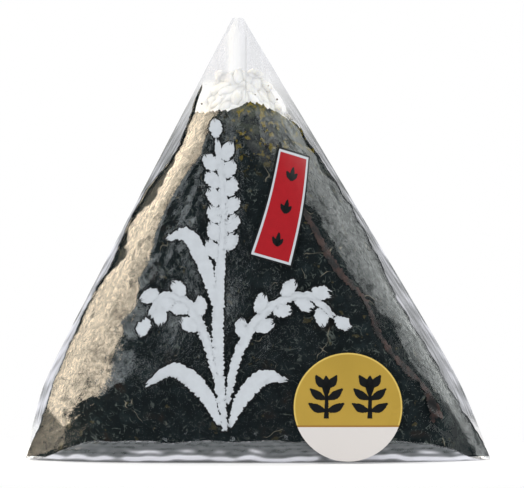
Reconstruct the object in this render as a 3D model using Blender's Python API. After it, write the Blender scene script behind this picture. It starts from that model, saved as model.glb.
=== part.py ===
"""A triangular rice ball in its sealed clear film wrapper, with the round flavour label on its front.

Metres, +Z up, front towards -Y. The origin is at the middle of the flat base, on the surface it stands on.
The wrapper is one closed solid: the film's outer form, tight over the rice block and pinched to a thin
fin along both slanted sides, with an empty film peak above the rice and a pointed ear at each base corner.
"""

import math

import bmesh
import bpy

MM = 0.001

# The pack as seen from the front
PACK_HEIGHT = 91.0 * MM
TIP_REACH = 48.0 * MM  # from the middle out to each base corner
KNEE_HEIGHT = 15.0 * MM  # where the steep corner edge meets the long slanted side
KNEE_LEFT = 44.9 * MM
KNEE_RIGHT = 42.5 * MM
KNEE_BLEND = 1.4 * MM
PEAK_LEFT = 5.3 * MM  # both ends of the narrow top edge lie left of the middle: the peak leans
PEAK_RIGHT = 3.1 * MM

# The pack as seen from the side
BASE_HALF_DEPTH = 12.5 * MM
BODY_HALF_DEPTH = 16.4 * MM
BASE_ROUNDING = 4.6 * MM  # height of the rounded lower front edge
BELLY_SWELL = 0.9 * MM  # how far the middle of the face bulges past its edges
RICE_TOP = 80.5 * MM
RICE_TOP_ROUNDING = 22.0 * MM
SHOULDER_LEAN = 2.0 * MM  # how much thinner the block is at its shoulder than at its foot
PEAK_HALF_DEPTH = 0.7 * MM

# The film where it leaves the rice block, at the slanted sides
FIN_WIDTH = 1.1 * MM
FIN_HALF_THICKNESS = 0.22 * MM
FILM_GAP = 2.8 * MM  # from the rice block's side out to the film's edge
SIDE_ROUNDING = 12.5 * MM
CORNER_ROUNDING = 34.0 * MM
CORNER_HEIGHT = 17.0 * MM  # above it the side has its plain rounding

# The label
LABEL_RADIUS = 11.0 * MM
LABEL_CENTRE = (18.2 * MM, 11.4 * MM)  # across and up
LABEL_THICKNESS = 0.3 * MM
LABEL_GAP = 0.35 * MM
LABEL_LOWEST_CONTACT = 6.5 * MM  # below it the label bridges the rounded lower edge
LABEL_SEGMENTS = 56
LABEL_RINGS = 5
LABEL_FEELERS = 24  # heights at which the label is tried against the film

# Folds in the film, front and back: from (across, up) to (across, up), reach to each side, rise
FOLDS = [
    ((-48.0, 0.0), (-33.0, 12.5), 2.6, 0.9),
    ((48.0, 0.0), (31.0, 12.0), 2.6, 0.9),
    ((-45.0, 12.0), (-36.0, 26.0), 2.2, 0.5),
    ((43.0, 13.0), (35.5, 25.0), 2.2, 0.5),
    ((-36.0, 34.0), (-27.5, 44.0), 2.2, 0.4),
    ((31.0, 34.0), (24.5, 45.0), 2.2, 0.4),
    ((-2.9, 90.0), (-1.6, 72.0), 1.6, 0.6),
    ((-6.6, 86.0), (-9.5, 70.0), 1.6, 0.4),
]

# How finely the wrapper is divided
COLUMNS = 38
BASE_ROWS = 7
BODY_ROWS = 27
PEAK_ROWS = 11


def mix(low, high, share):
    return low + (high - low) * share


def smooth_share(value, start, end):
    """0 before start, 1 after end, and a smooth step between them."""
    share = min(max((value - start) / (end - start), 0.0), 1.0)
    return share * share * (3.0 - 2.0 * share)


def soft_lesser(a, b, blend):
    """The lesser of a and b, with the corner between them rounded."""
    return 0.5 * (a + b - math.sqrt((a - b) ** 2 + blend * blend))


def edge_reach(height, knee, peak):
    """How far one slanted edge stands from the pack's middle plane. peak is negative across the middle."""
    corner_edge = mix(TIP_REACH, knee, height / KNEE_HEIGHT)
    long_edge = mix(knee, peak, (height - KNEE_HEIGHT) / (PACK_HEIGHT - KNEE_HEIGHT))
    settle = soft_lesser(TIP_REACH, long_edge_at_base(knee, peak), KNEE_BLEND) - TIP_REACH
    return soft_lesser(corner_edge, long_edge, KNEE_BLEND) - settle * (1.0 - height / PACK_HEIGHT)


def long_edge_at_base(knee, peak):
    """Where the long slanted edge would reach if it ran straight down to the base."""
    return mix(knee, peak, -KNEE_HEIGHT / (PACK_HEIGHT - KNEE_HEIGHT))


def pack_edges(height):
    """The left and right ends of the pack at this height."""
    left = -edge_reach(height, KNEE_LEFT, PEAK_LEFT)
    right = edge_reach(height, KNEE_RIGHT, -PEAK_RIGHT)
    return left, right


def half_depth(height):
    """Half the pack's thickness at its middle: rounded foot, long body, and film tented to the peak."""
    foot = 1.0 - min(height / BASE_ROUNDING, 1.0)
    depth = mix(BASE_HALF_DEPTH, BODY_HALF_DEPTH, math.sqrt(1.0 - foot * foot))
    depth -= SHOULDER_LEAN * smooth_share(height, BASE_ROUNDING, RICE_TOP)
    crown_start = RICE_TOP - RICE_TOP_ROUNDING
    leave = crown_start + RICE_TOP_ROUNDING**2 / (PACK_HEIGHT - crown_start)
    if height <= crown_start:
        return depth
    if height <= leave:
        return depth * crown(height)
    leaving_depth = (BODY_HALF_DEPTH - SHOULDER_LEAN) * crown(leave)
    return mix(leaving_depth, PEAK_HALF_DEPTH, (height - leave) / (PACK_HEIGHT - leave))


def crown(height):
    """How the rice block rounds off towards its top, as a share of its depth."""
    rise = (height - RICE_TOP + RICE_TOP_ROUNDING) / RICE_TOP_ROUNDING
    return math.sqrt(max(1.0 - rise * rise, 0.0))


def fold_rise(across, height):
    """How far the folds lift the film at a point of the face. Each fades out towards its far end."""
    total = 0.0
    for (start_x, start_z), (end_x, end_z), reach, rise in FOLDS:
        run_x, run_z = end_x - start_x, end_z - start_z
        from_x, from_z = across / MM - start_x, height / MM - start_z
        along = (from_x * run_x + from_z * run_z) / (run_x * run_x + run_z * run_z)
        held = min(max(along, 0.0), 1.0)
        away = math.hypot(from_x - held * run_x, from_z - held * run_z) / reach
        total += rise * MM * math.exp(-away * away) * (1.0 - 0.7 * held)
    return total


def face_height(across, height):
    """How far the film stands from the pack's middle plane, at a point of the face."""
    left, right = pack_edges(height)
    half_width = 0.5 * (right - left)
    inset = max(half_width - abs(across - 0.5 * (left + right)), 0.0)
    depth = half_depth(height)
    rounding = mix(CORNER_ROUNDING, SIDE_ROUNDING, smooth_share(height, 0.0, CORNER_HEIGHT))
    gap = min(FILM_GAP, 0.3 * half_width)
    rounding = min(rounding, half_width - gap)
    flat_from = gap + rounding
    leave = flat_from - rounding * rounding / flat_from
    if inset >= flat_from:
        rise = depth
    elif inset > leave:
        rise = depth * math.sqrt(1.0 - ((flat_from - inset) / rounding) ** 2)
    else:
        rise = depth * math.sqrt(1.0 - (rounding / flat_from) ** 2) * inset / leave
    centred = 1.0 - (across - 0.5 * (left + right)) ** 2 / half_width**2
    belly = BELLY_SWELL * smooth_share(height, 0.0, 0.35 * RICE_TOP)
    belly *= 1.0 - smooth_share(height, 0.5 * RICE_TOP, RICE_TOP)
    fin = FIN_HALF_THICKNESS * min(inset / (0.35 * FIN_WIDTH), 1.0)
    folds = fold_rise(across, height) * smooth_share(inset, 0.0, 2.0 * FIN_WIDTH)
    return max(rise + belly * max(centred, 0.0) + folds, fin)


def row_heights():
    """Heights of the wrapper's rows, closer together at the rounded foot."""
    body_top = RICE_TOP - 0.5 * RICE_TOP_ROUNDING
    foot = [BASE_ROUNDING * (1.0 - math.cos(0.5 * math.pi * i / BASE_ROWS)) for i in range(BASE_ROWS)]
    body = [mix(BASE_ROUNDING, body_top, i / BODY_ROWS) for i in range(BODY_ROWS)]
    peak = [mix(body_top, PACK_HEIGHT, i / PEAK_ROWS) for i in range(PEAK_ROWS + 1)]
    return foot + body + peak


def row_of_points(height):
    """One closed row round the pack: left edge, front face, right edge, back face."""
    left, right = pack_edges(height)
    across = [mix(left, right, 0.5 - 0.5 * math.cos(math.pi * i / COLUMNS)) for i in range(COLUMNS + 1)]
    rises = [face_height(x, height) for x in across]
    front = [(x, -rise, height) for x, rise in zip(across[1:-1], rises[1:-1])]
    back = [(x, rise, height) for x, rise in zip(across[1:-1], rises[1:-1])]
    return [(left, 0.0, height), *front, (right, 0.0, height), *reversed(back)]


def new_object(name, mesh_builder, material):
    """Adds one object whose mesh is made by mesh_builder on an empty bmesh."""
    bm = bmesh.new()
    mesh_builder(bm)
    bmesh.ops.recalc_face_normals(bm, faces=bm.faces)
    mesh = bpy.data.meshes.new(name)
    bm.to_mesh(mesh)
    bm.free()
    mesh.materials.append(material)
    mesh.shade_smooth()
    mesh.set_sharp_from_angle(angle=math.radians(40))
    made = bpy.data.objects.new(name, mesh)
    bpy.context.scene.collection.objects.link(made)
    return made


def build_wrapper(bm):
    """The sealed wrapper: rows joined by bands of faces, closed by a flat base and the peak's edge."""
    rows = [[bm.verts.new(point) for point in row_of_points(height)] for height in row_heights()]
    for lower, upper in zip(rows, rows[1:]):
        count = len(lower)
        for i in range(count):
            j = (i + 1) % count
            bm.faces.new((lower[i], lower[j], upper[j], upper[i]))
    for row in (rows[0], rows[-1]):
        close_row(bm, row)


def close_row(bm, row):
    """Closes a row with a strip of faces between its front and back points."""
    front, back = row[1:COLUMNS], row[:COLUMNS:-1]
    bm.faces.new((row[0], front[0], back[0]))
    bm.faces.new((row[COLUMNS], back[-1], front[-1]))
    for i in range(COLUMNS - 2):
        bm.faces.new((front[i], front[i + 1], back[i + 1], back[i]))


def label_rest(across):
    """Where the label lies over the film. It bends one way only, as paper does, so height plays no part."""
    middle_x, middle_z = LABEL_CENTRE
    chord = math.sqrt(max(LABEL_RADIUS**2 - (across - middle_x) ** 2, 0.0))
    lowest = max(middle_z - chord, LABEL_LOWEST_CONTACT)
    heights = [mix(lowest, middle_z + chord, i / LABEL_FEELERS) for i in range(LABEL_FEELERS + 1)]
    return max(face_height(across, height) for height in heights)


def build_label(bm):
    """The round label: a thin disc bent over the front face, free of the rounded lower edge."""
    middle_x, middle_z = LABEL_CENTRE

    def layer(offset):
        def vertex(x, z):
            return bm.verts.new((x, -label_rest(x) - offset, z))

        rings = [[vertex(middle_x, middle_z)]]
        for ring in range(1, LABEL_RINGS + 1):
            radius = LABEL_RADIUS * ring / LABEL_RINGS
            angles = [2.0 * math.pi * i / LABEL_SEGMENTS for i in range(LABEL_SEGMENTS)]
            rings.append(
                [vertex(middle_x + radius * math.cos(a), middle_z + radius * math.sin(a)) for a in angles]
            )
        for i in range(LABEL_SEGMENTS):
            j = (i + 1) % LABEL_SEGMENTS
            bm.faces.new((rings[0][0], rings[1][i], rings[1][j]))
            for inner, outer in zip(rings[1:], rings[2:]):
                bm.faces.new((inner[i], outer[i], outer[j], inner[j]))
        return rings[-1]

    under = layer(LABEL_GAP)
    over = layer(LABEL_GAP + LABEL_THICKNESS)
    for i in range(LABEL_SEGMENTS):
        j = (i + 1) % LABEL_SEGMENTS
        bm.faces.new((under[i], under[j], over[j], over[i]))


def make_material(name, colour, roughness):
    material = bpy.data.materials.new(name)
    material.use_nodes = True
    shader = material.node_tree.nodes["Principled BSDF"]
    shader.inputs["Base Color"].default_value = (*colour, 1.0)
    shader.inputs["Roughness"].default_value = roughness
    shader.inputs["Metallic"].default_value = 0.0
    return material


def main():
    for old in list(bpy.data.objects):
        bpy.data.objects.remove(old)
    film_over_seaweed = make_material("film_over_seaweed", (0.02, 0.03, 0.03), 0.2)
    label_gold = make_material("label_gold", (0.40, 0.27, 0.04), 0.35)
    new_object("film_wrapper", build_wrapper, film_over_seaweed)
    new_object("flavour_label", build_label, label_gold)


main()
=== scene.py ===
"""The looks of a wrapped triangular rice ball: film, seaweed, rice, print, label, and a white studio.

Sizes inside the script are in millimetres, across (X), deep (Y) and up (Z), and are written to the
meshes in metres. The front faces -Y.
"""

import math

import bpy
import numpy as np
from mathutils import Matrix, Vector
from mathutils.bvhtree import BVHTree


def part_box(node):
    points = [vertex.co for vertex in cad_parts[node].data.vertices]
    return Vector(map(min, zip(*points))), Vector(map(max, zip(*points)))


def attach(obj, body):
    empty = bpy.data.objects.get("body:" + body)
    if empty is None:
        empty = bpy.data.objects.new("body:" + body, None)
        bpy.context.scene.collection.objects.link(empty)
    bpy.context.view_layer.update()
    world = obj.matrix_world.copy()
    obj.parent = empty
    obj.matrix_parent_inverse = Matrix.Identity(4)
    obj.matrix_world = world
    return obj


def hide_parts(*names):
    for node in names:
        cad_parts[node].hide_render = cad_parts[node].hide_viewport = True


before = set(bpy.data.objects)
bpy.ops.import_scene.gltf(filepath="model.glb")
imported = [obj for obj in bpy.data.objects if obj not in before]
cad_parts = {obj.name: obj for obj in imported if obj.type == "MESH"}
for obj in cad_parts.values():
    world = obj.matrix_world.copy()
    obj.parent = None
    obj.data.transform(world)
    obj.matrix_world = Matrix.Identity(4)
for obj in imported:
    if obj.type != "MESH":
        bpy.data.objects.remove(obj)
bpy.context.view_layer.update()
MM = 0.001

# The wrapper's driving sizes, from its box. Its swell and its folds take up the last of the depth
wrapper_low, wrapper_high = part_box("film_wrapper")
HALF_WIDTH = 0.5 * (wrapper_high.x - wrapper_low.x) / MM
PACK_HEIGHT = wrapper_high.z / MM
HALF_DEPTH = 0.965 * wrapper_high.y / MM

# The front view: a steep corner edge, then a long slanted side up to the peak
KNEE_HEIGHT = 15.0
KNEE_LEFT = 44.9
KNEE_RIGHT = 42.5
KNEE_BLEND = 1.4
PEAK_LEFT = 5.3
PEAK_RIGHT = 3.1
SIDE_SLOPE = math.radians(62.0)
TEAR_LINE = -2.5  # where the film's tear line runs down the peak

# The side view
BASE_HALF_DEPTH = 12.5
BASE_ROUNDING = 4.6
BELLY_SWELL = 0.9
RICE_TOP = 80.5
CROWN_START = 58.5
SHOULDER_LEAN = 2.0
PEAK_HALF_DEPTH = 0.7

# The film's section: a flat fin, a straight tangent, then a rounding over the rice
FIN_HALF_THICKNESS = 0.16
FIN_WAVES = (0.55, 0.25)  # how far its long and short waves sway front to back
LOOSE_LEFT = 19.0  # how far in from the pack's left edge the film is loose
LOOSE_RIGHT = 14.0
CRUMPLES = (0.26, 0.10)  # how high the broad and fine crumples of the loose film stand
FILM_GAP = 3.4
SIDE_ROUNDING = 12.5
CORNER_ROUNDING = 34.0
CORNER_HEIGHT = 17.0

# Stops for sizes that change with height, each a height and a size.
# The rounding over the rice's left shoulder: full below, tight above the middle
LEFT_ROUNDING = [
    (18.0, 15.0), (27.0, 11.5), (33.0, 9.2), (43.0, 6.2), (53.0, 4.4), (62.0, 5.6), (80.0, 7.0),
]
# How far in from the pack's edge the seaweed's folded sides lie
LEFT_GAP = [
    (0.0, 0.4), (8.0, 1.5), (14.0, 1.7), (21.0, 1.4), (28.0, 1.0), (35.0, 0.9), (41.0, 1.3),
    (47.0, 0.6), (52.0, 0.5), (56.0, 0.8), (60.0, 2.0), (66.0, 2.4), (70.0, 1.9), (74.0, 1.1),
    (80.0, 0.5),
]
RIGHT_GAP = [
    (0.0, 0.3), (5.0, 0.7), (12.0, 2.2), (22.0, 2.7), (33.0, 2.7), (43.0, 1.6), (53.0, 1.0),
    (60.0, 1.3), (70.0, 2.0), (80.0, 2.2),
]
# How far in from the seaweed's left side the film lies dark over it: painted shade, where its mirror is
# turned down
LEFT_LIP = [
    (20.0, 0.0), (27.0, 0.6), (36.0, 0.6), (38.5, 1.0), (41.0, 2.3), (44.0, 2.2), (46.5, 0.9),
    (49.0, 0.9), (51.0, 1.6), (54.0, 3.0), (57.0, 2.8), (61.0, 1.4), (72.0, 0.8), (80.0, 0.5),
]
# How far in from the pack's right edge the film's mirrored haze ends and it lies dark: painted shade, where
# its mirror is turned down
RIGHT_HAZE = [
    (0.0, 2.6), (5.0, 3.4), (11.0, 4.6), (17.0, 7.0), (23.0, 7.9), (29.0, 7.4), (35.0, 9.2),
    (45.0, 9.4), (52.0, 9.8), (58.0, 16.0),
]

# How many folds each face of the film has
SIDE_FOLDS = 130
CORNER_FOLDS = 5  # in each corner
FOOT_FOLDS = 44
FACE_FOLDS = 26

# How the rolled sheets are divided
FRONT_SHARE = 0.62  # of the film's and the seaweed's columns
FILM_COLUMNS = 350
FILM_ROWS = 262
FOOT_ROWS_SHARE = 0.13  # of the film's rows lie close together, up to the next height
FOOT_ROWS_TOP = 6.0
SEAWEED_COLUMNS = 300
SEAWEED_ROWS = 160
CORE_COLUMNS = 150
CORE_ROWS = 100

# The seaweed sheet
SEAWEED_IN_FIN = 0.3  # how far the fin reaches in over its edge
SEAWEED_DEPTH = 0.5  # under the film
SEAWEED_THICKNESS = 0.35
SEAWEED_EDGE_HALF = 0.06  # half its thickness where its sides are pressed flat
SEAWEED_FOOT = 0.7
SEAWEED_FIRST_HEIGHT = 75.0  # before its torn top is worked out
SEAWEED_OUTER_SHARE = 0.92  # of its rows; the rest line the torn edge
SEAWEED_LINING_FOOT = 61.0
SEAWEED_FRONT_TOP = 71.5
SEAWEED_BACK_TOP = 71.0
SEAWEED_LEFT_TOP = 77.5  # a sliver stands up there
SEAWEED_RIGHT_TOP = 68.5

# The rice
RICE_DEPTH = 1.5  # under the film
CORE_FOOT = 1.6
CORE_INSIDE = 1.3  # how far the pressed rice's sides and top lie inside the grains
CORE_SINK = 0.7  # how far its faces lie inside them
DOME_START = 62.0  # where the rice starts to round off towards its top
CREST_ACROSS = -3.6  # where the rice is highest
CREST_HEIGHT = 80.6
CREST_FALL = 2.4  # how much lower it is, this far to either side
CREST_REACH = 8.0
RICE_GAP_BELOW = 3.6  # how far in from the pack's edge it lies
RICE_GAP_ABOVE = 1.9
RICE_ROUNDING = 8.0
LOWEST_GRAIN = 65.0
GRAIN_TRIES = 5200
GRAIN_SPACING = 2.1
GRAIN_HALF_SIZES = (2.75, 1.25, 0.95)  # along, wide and thick
GRAIN_BEND = 0.16
GRAIN_TAPER = 0.18
GRAIN_SCALES = (0.88, 1.06)  # the smallest and the largest
GRAIN_SINKS = (0.75, 1.05)  # how deep they lie in the rice, from least to most
CRUMBS = [(2.1, 76.9, 0.13), (3.9, 74.1, 0.22), (-11.6, 73.2, 0.2), (-0.6, 74.9, 0.12)]  # across, up, size

# The print on the film, and how far each layer of it stands off
INK_THICKNESS = 0.03
OUTLINE_GROW = 0.36
OUTLINE_STAND_OFF = 0.08
PAINTING_STAND_OFF = 0.22
STROKE_STEP = 0.003  # each stroke lies this much over the one before
BRISTLES = 17  # points across a stroke
BANNER_LAYERS = [("banner_outline", 0.9, 0.31), ("banner_border", 0.5, 0.36), ("banner_red", 0.0, 0.40)]
BANNER_MARKS_STAND_OFF = 0.44
BANNER_CORNERS = [(-0.8, 42.7), (6.2, 40.7), (9.9, 61.7), (4.6, 63.2)]  # from the lower left, round
BANNER_BOW = 0.5

# The painting, a rice plant: three stems that each carry an ear, and leaves. A stop is across, up and width
STEMS = [
    [(-6.6, 6.4, 1.0), (-8.0, 19.0, 2.2), (-7.8, 38.0, 2.0), (-7.0, 52.0, 1.7), (-8.4, 66.0, 1.0)],
    [(-6.4, 12.0, 1.0), (-3.4, 23.6, 2.0), (2.6, 31.6, 1.8), (9.6, 34.0, 1.5), (15.6, 29.6, 1.0)],
    [(-8.4, 17.0, 1.0), (-11.4, 27.0, 2.0), (-15.4, 33.2, 1.8), (-19.4, 33.8, 1.5), (-22.2, 29.2, 1.0)],
]
LEAVES = [
    [(-5.8, 7.2, 0.8), (-2.8, 13.8, 3.1), (1.6, 17.6, 2.8), (6.2, 16.6, 0.4)],
    [(-7.6, 7.6, 0.8), (-11.2, 14.6, 3.1), (-17.0, 18.8, 2.8), (-23.0, 15.6, 0.4)],
    [(-8.4, 31.0, 0.9), (-11.2, 41.0, 2.9), (-14.8, 46.4, 2.5), (-18.8, 45.4, 0.4)],
]
EARS = [(0.62, 12), (0.42, 8), (0.46, 7)]  # for each stem, where along it the ear starts, and its grains
DAB_LENGTH = 4.4
DAB_WIDTH = 2.7
DAB_END_WIDTH = 0.9
DAB_LEAN = math.radians(27.0)
DAB_ASIDE = 1.9

# The folded edge of the inner film, which lies this far under the outer film
INNER_FILM_SINK = 0.3
INNER_FILM_PATH = [
    (8.6, 52.6, 0.7), (12.4, 45.8, 1.1), (16.6, 38.6, 1.3), (21.2, 33.7, 0.6), (24.8, 25.6, 0.9),
    (27.4, 21.8, 0.7), (30.4, 18.7, 1.2), (33.4, 15.8, 0.5), (35.6, 11.4, 2.0), (36.8, 8.2, 2.6),
]

# The label, measured from its middle
LABEL_SPLIT = -4.0  # where its white foot begins
LABEL_LINE_TOP = 0.4  # the brown line's upper edge, over the split
# where the painted highlight round the label's rim starts, from its middle
LABEL_RIM = 10.62
SPRIG_ASIDE = 4.4
SPRIG_UP = 1.9
SPRIG_TALL = 8.4
SPRIG_STAND_OFF = 0.05

# The camera, in metres
CAMERA_DISTANCE = 0.9
CAMERA_AIM = (0.0008, 0.0444)  # across and up
VIEW_WIDTH = 0.108


# ---------------------------------------------------------------- form


def mix(low, high, share):
    """From low, at a share of 0, to high, at a share of 1."""
    return low + (high - low) * share


def smooth_share(value, start, end):
    """0 before start, 1 after end, and a smooth step between them."""
    share = np.clip((value - start) / (end - start), 0.0, 1.0)
    return share * share * (3.0 - 2.0 * share)


def soft_lesser(a, b, blend):
    """The lesser of a and b, with the corner between them rounded."""
    return 0.5 * (a + b - np.sqrt((a - b) ** 2 + blend * blend))


def edge_reach(up, knee, peak):
    """How far one slanted edge stands from the pack's middle plane."""
    corner_edge = mix(HALF_WIDTH, knee, up / KNEE_HEIGHT)
    long_edge = mix(knee, peak, (up - KNEE_HEIGHT) / (PACK_HEIGHT - KNEE_HEIGHT))
    long_edge_at_base = mix(knee, peak, -KNEE_HEIGHT / (PACK_HEIGHT - KNEE_HEIGHT))
    settle = soft_lesser(HALF_WIDTH, long_edge_at_base, KNEE_BLEND) - HALF_WIDTH
    return soft_lesser(corner_edge, long_edge, KNEE_BLEND) - settle * (1.0 - up / PACK_HEIGHT)


def pack_edges(up):
    """The left and right ends of the pack at this height."""
    return -edge_reach(up, KNEE_LEFT, PEAK_LEFT), edge_reach(up, KNEE_RIGHT, -PEAK_RIGHT)


def crown(up):
    """How the rice block rounds off towards its top, as a share of its depth."""
    rise = np.clip((up - CROWN_START) / (RICE_TOP - CROWN_START), 0.0, 1.0)
    return np.sqrt(1.0 - rise * rise)


def half_depth(up):
    """Half the pack's thickness at its middle: rounded foot, long body, film tented to the peak."""
    foot = 1.0 - np.clip(up / BASE_ROUNDING, 0.0, 1.0)
    depth = mix(BASE_HALF_DEPTH, HALF_DEPTH, np.sqrt(1.0 - foot * foot))
    depth = depth - SHOULDER_LEAN * smooth_share(up, BASE_ROUNDING, RICE_TOP)
    leave = CROWN_START + (RICE_TOP - CROWN_START) ** 2 / (PACK_HEIGHT - CROWN_START)
    leaving_depth = (HALF_DEPTH - SHOULDER_LEAN) * crown(leave)
    tent = mix(leaving_depth, PEAK_HALF_DEPTH, (up - leave) / (PACK_HEIGHT - leave))
    return np.where(up <= leave, depth * crown(up), tent)


def hermite(fine, knots, values, slopes):
    """A smooth curve through the values, with these slopes at the knots."""
    piece = np.clip(np.searchsorted(knots, fine, side="right") - 1, 0, len(knots) - 2)
    span = knots[piece + 1] - knots[piece]
    t = (fine - knots[piece]) / span
    start = (1.0 + 2.0 * t) * (1.0 - t) ** 2 * values[piece] + t * (1.0 - t) ** 2 * span * slopes[piece]
    end = t * t * (3.0 - 2.0 * t) * values[piece + 1] + t * t * (t - 1.0) * span * slopes[piece + 1]
    return start + end


def at_height(up, stops):
    """A size that changes smoothly with height, through its stops, each a height and a size."""
    heights, sizes = np.array(stops).T
    fine = np.linspace(0.0, PACK_HEIGHT, 183)
    slopes = np.gradient(sizes, heights)
    within = np.clip(fine, heights[0], heights[-1])
    return np.interp(up, fine, hermite(within, heights, sizes, slopes))


def section_rise(inset, half_width, up, fin, on_left):
    """How far the film rises over its fin, at this distance in from the pack's edge."""
    depth = half_depth(up)
    left_rounding = at_height(up, LEFT_ROUNDING)
    side_rounding = np.where(on_left, left_rounding, SIDE_ROUNDING)
    rounding = mix(CORNER_ROUNDING, side_rounding, smooth_share(up, 0.0, CORNER_HEIGHT))
    gap = np.minimum(FILM_GAP, 0.3 * half_width)
    rounding = np.minimum(rounding, half_width - gap)
    run = np.maximum(gap + rounding - fin, rounding + 0.01)
    from_fin = np.maximum(inset - fin, 0.0)
    leave = run - rounding * rounding / run
    arc = depth * np.sqrt(np.clip(1.0 - ((run - from_fin) / rounding) ** 2, 0.0, 1.0))
    straight = depth * np.sqrt(1.0 - (rounding / run) ** 2) * from_fin / leave
    rise = np.where(from_fin > leave, arc, straight)
    return np.where(from_fin >= run, depth, rise)


def belly_rise(across, up, left, right):
    """The slight swell of the pack's face between its edges."""
    centred = 1.0 - ((across - 0.5 * (left + right)) / (0.5 * (right - left))) ** 2
    swell = BELLY_SWELL * smooth_share(up, 0.0, 0.35 * RICE_TOP)
    return swell * (1.0 - smooth_share(up, 0.5 * RICE_TOP, RICE_TOP)) * np.maximum(centred, 0.0)


def ripple(across, up, seed, length, terms=9, creased=False):
    """An unevenness of about this length, between about -1 and 1, whose pattern the seed picks.

    It is smooth, or flat facets between creases.
    """
    draw = np.random.default_rng(seed)
    total = np.zeros_like(across)
    for _ in range(terms):
        angle = draw.uniform(0.0, 2.0 * math.pi)
        wave = 2.0 * math.pi / (length * draw.uniform(0.6, 1.5))
        phase = draw.uniform(0.0, 2.0 * math.pi)
        swing = np.sin(wave * (across * math.cos(angle) + up * math.sin(angle)) + phase)
        total += np.arcsin(swing) * 2.0 / math.pi if creased else swing
    return total / math.sqrt(2.0 * terms)


def waver(along, seed, length):
    """An unevenness along one direction."""
    return ripple(along, 0.0 * along, seed, length)


def fold_lift(across, up, folds):
    """How far sharp folds lift the film. A fold is a place, a direction, two half sizes and a height."""
    lift = np.zeros_like(across)
    for place_x, place_z, angle, half_length, half_width, height in folds:
        from_x = across - place_x
        from_z = up - place_z
        along = (from_x * math.cos(angle) + from_z * math.sin(angle)) / half_length
        away = np.abs(from_z * math.cos(angle) - from_x * math.sin(angle)) / half_width
        fade = np.clip(1.0 - along * along, 0.0, 1.0)
        lift += height * fade * np.clip(1.0 - away, 0.0, 1.0)
    return lift


def side_folds(draw, count):
    """Short crinkles along both slanted sides, lying across them at all angles."""
    folds = []
    for _ in range(count):
        up = draw.uniform(4.0, 76.0)
        left, right = pack_edges(up)
        side = draw.choice([-1.0, 1.0])
        inset = draw.uniform(1.5, 13.0)
        across = left + inset if side < 0.0 else right - inset
        angle = SIDE_SLOPE * -side + draw.normal(0.0, 0.6)
        half_length = draw.uniform(1.5, 6.0)
        half_width = draw.uniform(0.5, 1.5)
        folds.append((across, up, angle, half_length, half_width, draw.uniform(-0.12, 0.16)))
    return folds


def corner_folds(draw, count):
    """Folds that fan out of both bottom corners."""
    folds = []
    for side in (-1.0, 1.0):
        for i in range(count):
            angle = math.radians(mix(10.0, 62.0, i / (count - 1)) + draw.uniform(-4.0, 4.0))
            reach = draw.uniform(5.5, 10.0)
            across = side * (HALF_WIDTH - 1.0 - reach * math.cos(angle))
            heading = math.pi - angle if side > 0.0 else angle
            up = 0.5 + reach * math.sin(angle)
            folds.append((across, up, heading, reach, draw.uniform(1.2, 2.6), draw.uniform(0.35, 0.7)))
    return folds


def foot_folds(draw, count):
    """Small puckers where the film turns under the pack."""
    folds = []
    for _ in range(count):
        across = draw.uniform(-38.0, 38.0)
        angle = math.radians(draw.uniform(20.0, 160.0))
        up = draw.uniform(0.5, 4.5)
        half_length = draw.uniform(1.5, 4.0)
        folds.append((across, up, angle, half_length, draw.uniform(0.5, 1.2), draw.uniform(-0.12, 0.25)))
    return folds


def face_folds(draw, count):
    """Long faint folds over the flat of the face."""
    folds = []
    for _ in range(count):
        up = draw.uniform(8.0, 66.0)
        left, right = pack_edges(up)
        across = draw.uniform(left + 12.0, right - 12.0) if right - left > 26.0 else 0.5 * (left + right)
        angle = math.radians(draw.uniform(30.0, 150.0))
        half_length = draw.uniform(4.0, 13.0)
        half_width = draw.uniform(0.9, 2.6)
        folds.append((across, up, angle, half_length, half_width, draw.uniform(-0.05, 0.06)))
    return folds


def peak_folds():
    """The crease that runs down the peak and the fainter ones beside it."""
    return [
        (TEAR_LINE, 82.0, math.radians(90.0), 9.5, 0.3, 0.12),
        (TEAR_LINE - 0.7, 82.0, math.radians(90.0), 9.5, 0.4, -0.08),
        (-6.2, 83.0, math.radians(93.0), 6.5, 1.6, 0.08),
        (-9.4, 73.0, math.radians(66.0), 5.0, 0.8, 0.15),
        (2.6, 74.0, math.radians(118.0), 5.0, 0.9, 0.12),
    ]


def film_folds(seed):
    """All the folds of one face of the film."""
    draw = np.random.default_rng(seed)
    sides = side_folds(draw, SIDE_FOLDS) + corner_folds(draw, CORNER_FOLDS)
    return sides + foot_folds(draw, FOOT_FOLDS) + face_folds(draw, FACE_FOLDS) + peak_folds()


FRONT_FOLDS = film_folds(11)
BACK_FOLDS = film_folds(12)


def inset_from_edge(across, up):
    """How far in from the pack's edge each place lies, the pack's half width there, and its two ends."""
    left, right = pack_edges(up)
    half_width = 0.5 * (right - left)
    return np.maximum(half_width - np.abs(across - 0.5 * (left + right)), 0.0), half_width, left, right


def seaweed_gap(up, on_left):
    """How far in from the pack's edge the seaweed's folded side lies: it wavers along both sides."""
    left_gap = at_height(up, LEFT_GAP) + 0.18 * waver(up, 62, 5.0)
    right_gap = at_height(up, RIGHT_GAP) + 0.22 * waver(up, 65, 5.0)
    gap = np.where(on_left, left_gap, right_gap) + 0.10 * waver(up, 63, 1.6)
    return np.maximum(gap, 0.25) * mix(0.5, 1.0, smooth_share(up, 2.0, 8.0))


def shoulder(inset, up, on_left):
    """The rice block's lower right side is squarer than the rest: its shoulder stands out a little."""
    reach = np.exp(-(((inset - 5.5) / 3.0) ** 2)) * np.where(on_left, 0.0, 1.3)
    return reach * smooth_share(up, 3.0, 12.0) * (1.0 - smooth_share(up, 27.0, 34.0))


def fin_reach(up, on_left):
    """How wide the flat fin is. The seaweed's edge is caught in it."""
    reach = seaweed_gap(up, on_left) + SEAWEED_IN_FIN
    return reach * smooth_share(up, 0.0, 7.0) * (1.0 - 0.7 * smooth_share(up, 66.0, 82.0))


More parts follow.
